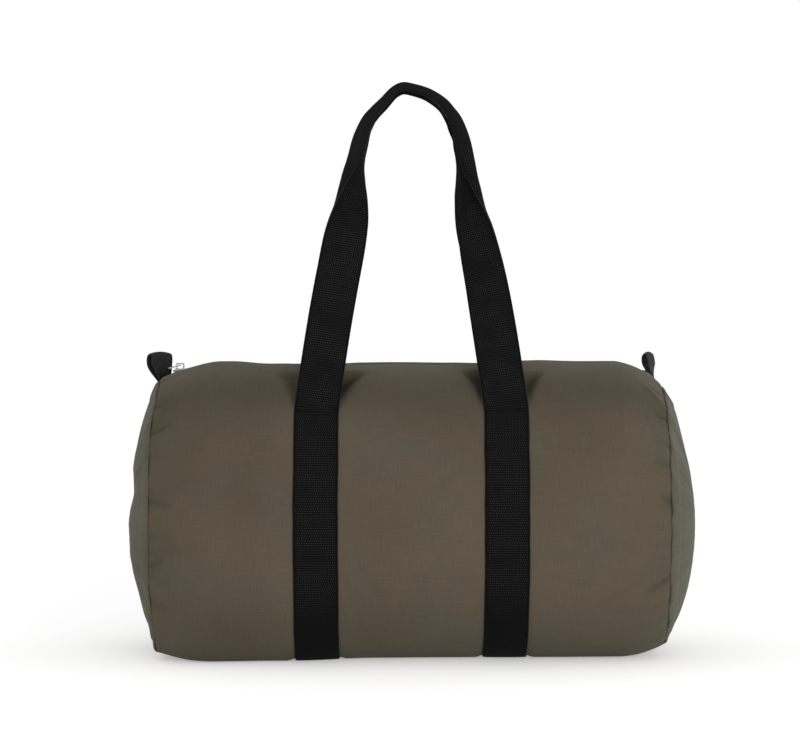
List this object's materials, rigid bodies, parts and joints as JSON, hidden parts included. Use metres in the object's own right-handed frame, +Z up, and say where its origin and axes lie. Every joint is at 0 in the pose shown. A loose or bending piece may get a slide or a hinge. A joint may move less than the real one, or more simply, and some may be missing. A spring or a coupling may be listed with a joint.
{
  "type": "barrel bag",
  "caption": "Canvas barrel bag with a top zip, domed end panels, tape end tabs and webbing carrying handles that fold down.",
  "frame": {"origin": "on the ground below the middle of the bag", "axes": "+X along the barrel, -Y is the front, +Z up through the handles"},
  "size_m": [0.493, 0.2624, 0.5011],
  "materials": {
    "canvas": "matt plain-weave cotton canvas, olive brown",
    "webbing": "black ribbed cotton webbing",
    "tab_tape": "black smooth tape",
    "zip_tape": "black woven tape",
    "zip_coil": "black nylon coil",
    "zip_metal": "bright nickel plate",
    "black_thread": "black sewing thread",
    "olive_thread": "olive sewing thread",
    "binding_tape": "black binding tape"
  },
  "bodies": {
    "bag": {"barrel_panel": "canvas", "left_end_panel": "canvas", "right_end_panel": "canvas", "left_end_binding": "binding_tape", "right_end_binding": "binding_tape", "front_zip_tape": "zip_tape", "back_zip_tape": "zip_tape", "front_zip_coil": "zip_coil", "back_zip_coil": "zip_coil", "zip_top_stops": "zip_metal", "zip_bottom_stop": "zip_metal", "left_strap": "webbing", "right_strap": "webbing", "left_strap_stitching": "black_thread", "right_strap_stitching": "black_thread", "zip_topstitching": "olive_thread"},
    "front_handle": {"front_handle": "webbing"},
    "back_handle": {"back_handle": "webbing"},
    "zip_slider": {"zip_slider": "zip_metal"},
    "zip_pull": {"zip_pull": "zip_metal"},
    "left_tab": {"left_tab": "tab_tape"},
    "right_tab": {"right_tab": "tab_tape"}
  },
  "joints": [
    {"name": "front_handle_fold", "type": "hinge", "parent": "bag", "child": "front_handle", "pos_m": [0, -0.09348, 0.21948], "axis": [1, 0, 0], "range_deg": [0, 145]},
    {"name": "back_handle_fold", "type": "hinge", "parent": "bag", "child": "back_handle", "pos_m": [0, 0.09348, 0.21948], "axis": [-1, 0, 0], "range_deg": [0, 145]},
    {"name": "zip_slide", "type": "slide", "parent": "bag", "child": "zip_slider", "axis": [1, 0, 0], "range_m": [0, 0.387]},
    {"name": "zip_pull_swing", "type": "hinge", "parent": "zip_slider", "child": "zip_pull", "pos_m": [-0.203, 0, 0.2523], "axis": [0, 1, 0], "range_deg": [0, 195]},
    {"name": "left_tab_bend", "type": "hinge", "parent": "bag", "child": "left_tab", "pos_m": [-0.22104, 0, 0.2416], "axis": [0, -1, 0], "range_deg": [0, 60], "stiffness_Nm_per_rad": 0.01},
    {"name": "right_tab_bend", "type": "hinge", "parent": "bag", "child": "right_tab", "pos_m": [0.22104, 0, 0.2416], "axis": [0, 1, 0], "range_deg": [0, 75], "stiffness_Nm_per_rad": 0.01}
  ]
}
